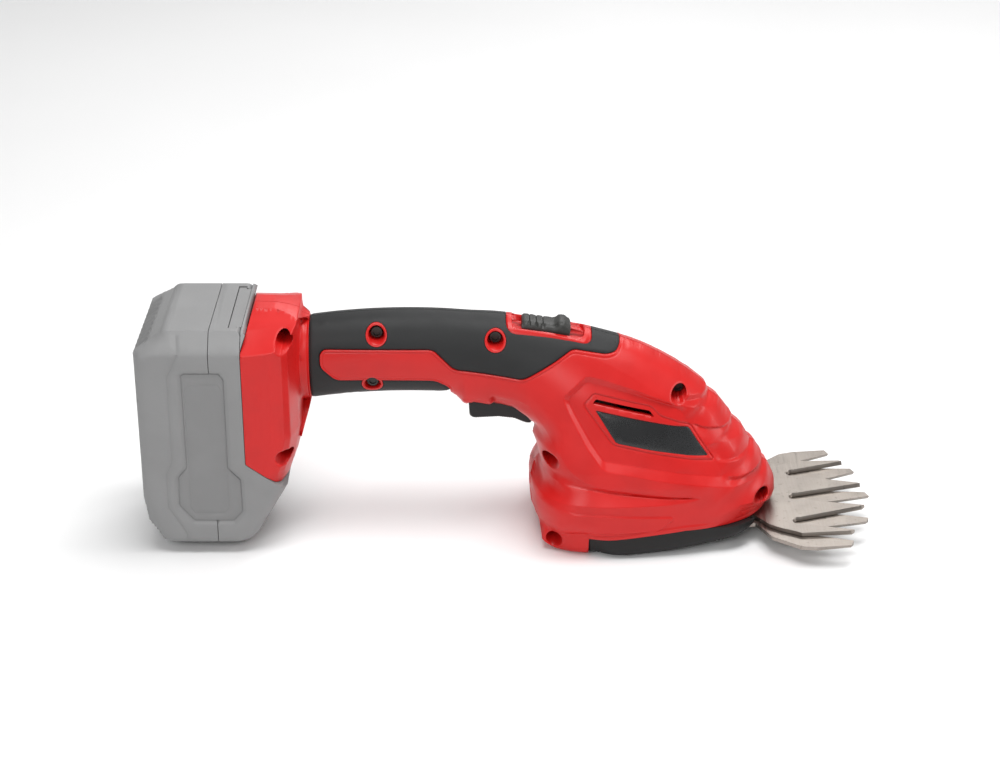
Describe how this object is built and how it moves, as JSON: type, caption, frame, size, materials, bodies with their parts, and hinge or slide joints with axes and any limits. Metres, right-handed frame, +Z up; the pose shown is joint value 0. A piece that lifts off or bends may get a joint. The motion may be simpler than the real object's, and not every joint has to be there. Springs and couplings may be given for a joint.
{
  "type": "cordless grass shears",
  "caption": "Battery grass shears with an arched rubber-covered handle, lock slide and trigger, a motor-driven comb blade pair under a rounded head, and a slide-on battery pack.",
  "frame": {"origin": "on the floor, midway between the battery's back and the tip of the longest tooth, on the shells' seam plane", "axes": "+X forward to the blades, -Y the tool's right side, +Z up as the tool stands on its sole and battery"},
  "size_m": [0.3652, 0.1036, 0.1209],
  "materials": {
    "red_plastic": "satin, finely textured",
    "grip_rubber": "soft matte overmould",
    "black_plastic": "satin",
    "dark_plastic": "matt",
    "battery_grey": "matt",
    "blade_steel": "ground, brushed along the teeth",
    "steel": "machined",
    "bright_steel": "zinc plated",
    "brass": "machined",
    "cell_can": "plated can",
    "board_green": "solder mask",
    "wire_red": "smooth insulation",
    "wire_black": "smooth insulation",
    "magnet": "sintered ferrite"
  },
  "bodies": {
    "housing": {"right_shell": "red_plastic", "left_shell": "red_plastic", "right_grip": "grip_rubber", "left_grip": "grip_rubber", "sole_cover": "black_plastic", "switch_body": "dark_plastic", "motor_can": "bright_steel", "motor_end_cap": "black_plastic", "magnet_front": "magnet", "magnet_back": "magnet", "gear_case": "dark_plastic", "gear_cover": "steel", "idler_pin": "steel", "crank_bush": "brass", "crank_top_bush": "brass", "lower_blade": "blade_steel", "blade_pivot": "bright_steel", "spring_washer": "bright_steel", "pivot_nut": "bright_steel", "terminal_block": "battery_grey", "trigger_pin": "bright_steel", "trigger_spring": "bright_steel", "lock_spring": "bright_steel", "wire_battery_switch": "wire_red", "wire_battery_motor": "wire_black", "wire_switch_motor": "wire_red", "screw_foot_top": "bright_steel", "screw_foot_bottom": "bright_steel", "screw_handle_back": "bright_steel", "screw_handle_low": "bright_steel", "screw_handle_front": "bright_steel", "screw_head_top": "bright_steel", "screw_head_back": "bright_steel", "screw_nose": "bright_steel", "screw_base_back": "bright_steel", "sole_screw_right": "bright_steel", "sole_screw_left": "bright_steel"},
    "rotor": {"rotor": "steel", "motor_pinion": "brass"},
    "idler": {"idler_gear": "steel"},
    "crank": {"crank_gear": "steel"},
    "upper_blade": {"upper_blade": "blade_steel"},
    "trigger": {"trigger": "black_plastic"},
    "switch_button": {"switch_button": "black_plastic"},
    "lock_slide": {"lock_slide": "black_plastic"},
    "battery": {"battery_back_shell": "battery_grey", "battery_front_shell": "battery_grey", "battery_board": "board_green", "battery_latch_spring": "bright_steel", "cell_01": "cell_can", "cell_02": "cell_can", "cell_03": "cell_can", "cell_04": "cell_can", "cell_05": "cell_can", "cell_06": "cell_can", "cell_07": "cell_can", "cell_08": "cell_can", "cell_09": "cell_can", "cell_10": "cell_can"},
    "battery_latch": {"battery_latch": "dark_plastic"}
  },
  "joints": [
    {"name": "rotor_spin", "type": "hinge", "parent": "housing", "child": "rotor", "pos_m": [0.04146, 0, 0.04459], "axis": [-0.0645, 0, 0.9979], "continuous": true},
    {"name": "idler_spin", "type": "hinge", "parent": "housing", "child": "idler", "pos_m": [0.05473, -0.01325, 0.0224], "axis": [-0.0645, 0, 0.9979], "continuous": true},
    {"name": "crank_spin", "type": "hinge", "parent": "housing", "child": "crank", "pos_m": [0.07533, 0, 0.01671], "axis": [-0.0645, 0, 0.9979], "continuous": true},
    {"name": "blade_swing", "type": "hinge", "parent": "housing", "child": "upper_blade", "pos_m": [0.10585, 0, 0.00967], "axis": [-0.0645, 0, 0.9979], "range_deg": [-4.7, 10.5]},
    {"name": "trigger_pull", "type": "hinge", "parent": "housing", "child": "trigger", "pos_m": [0.00591, 0, 0.07], "axis": [0, 1, 0], "range_deg": [0, 8], "stiffness_Nm_per_rad": 0.25, "springref_deg": -5.73, "deforming": ["trigger_spring"]},
    {"name": "switch_press", "type": "slide", "parent": "housing", "child": "switch_button", "axis": [0, 0, 1], "range_m": [0, 0.0023]},
    {"name": "lock_slide_push", "type": "slide", "parent": "housing", "child": "lock_slide", "axis": [0.9806, 0, -0.1959], "range_m": [0, 0.005], "stiffness_N_per_m": 200, "springref_m": -0.002, "deforming": ["lock_spring"]},
    {"name": "battery_slide", "type": "slide", "parent": "housing", "child": "battery", "axis": [0, 0, -1], "range_m": [0, 0.08]},
    {"name": "battery_latch_press", "type": "slide", "parent": "battery", "child": "battery_latch", "axis": [-0.8666, 0, 0.499], "range_m": [0, 0.0025], "stiffness_N_per_m": 300, "springref_m": -0.002, "deforming": ["battery_latch_spring"]}
  ],
  "couplings": [
    {"joint": "idler_spin", "follows": "rotor_spin", "ratio": -0.29412},
    {"joint": "crank_spin", "follows": "rotor_spin", "ratio": 0.098039},
    {"joint": "switch_press", "follows": "trigger_pull", "m_per_rad": 0.0155}
  ]
}
